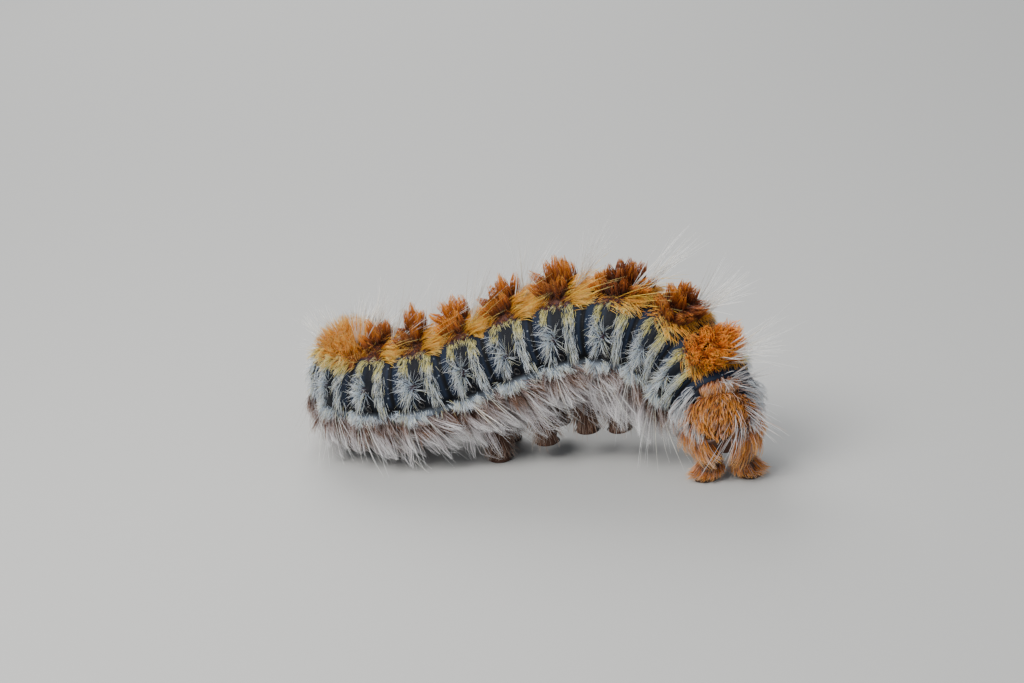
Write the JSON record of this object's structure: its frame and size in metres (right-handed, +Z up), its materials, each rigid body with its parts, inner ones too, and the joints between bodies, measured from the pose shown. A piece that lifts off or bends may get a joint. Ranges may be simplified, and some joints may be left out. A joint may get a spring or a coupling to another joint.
{
  "type": "hairy moth larva",
  "caption": "Still, life-size hairy moth larva crawling in an S, with rust back tufts, yellow back hair and a pale fringe of long hair.",
  "frame": {"origin": "on the floor, at the middle of the larva's box seen from above", "axes": "+X towards the tail along the straight middle of the body, -Y towards the animal's left side, which faces the camera, +Z up"},
  "size_m": [0.0316, 0.0244, 0.0139],
  "materials": {
    "hairy_skin": "matt dark slate skin under a coat of rust, yellow and white hair",
    "head_shell": "glossy black hard shell",
    "leg_shell": "glossy dark brown hard shell",
    "proleg_skin": "soft rust-brown skin"
  },
  "bodies": {
    "root": {"head": "head_shell", "antenna_left": "head_shell", "antenna_right": "head_shell", "thorax_1": "hairy_skin", "thorax_2": "hairy_skin", "thorax_3": "hairy_skin", "abdomen_1": "hairy_skin", "abdomen_2": "hairy_skin", "abdomen_3": "hairy_skin", "abdomen_4": "hairy_skin", "abdomen_5": "hairy_skin", "abdomen_6": "hairy_skin", "abdomen_7": "hairy_skin", "abdomen_8": "hairy_skin", "abdomen_9": "hairy_skin", "abdomen_10": "hairy_skin", "leg_1_left": "leg_shell", "leg_1_right": "leg_shell", "leg_2_left": "leg_shell", "leg_2_right": "leg_shell", "leg_3_left": "leg_shell", "leg_3_right": "leg_shell", "proleg_3_left": "proleg_skin", "proleg_3_right": "proleg_skin", "proleg_4_left": "proleg_skin", "proleg_4_right": "proleg_skin", "proleg_5_left": "proleg_skin", "proleg_5_right": "proleg_skin", "proleg_6_left": "proleg_skin", "proleg_6_right": "proleg_skin", "proleg_10_left": "proleg_skin", "proleg_10_right": "proleg_skin"}
  },
  "joints": []
}
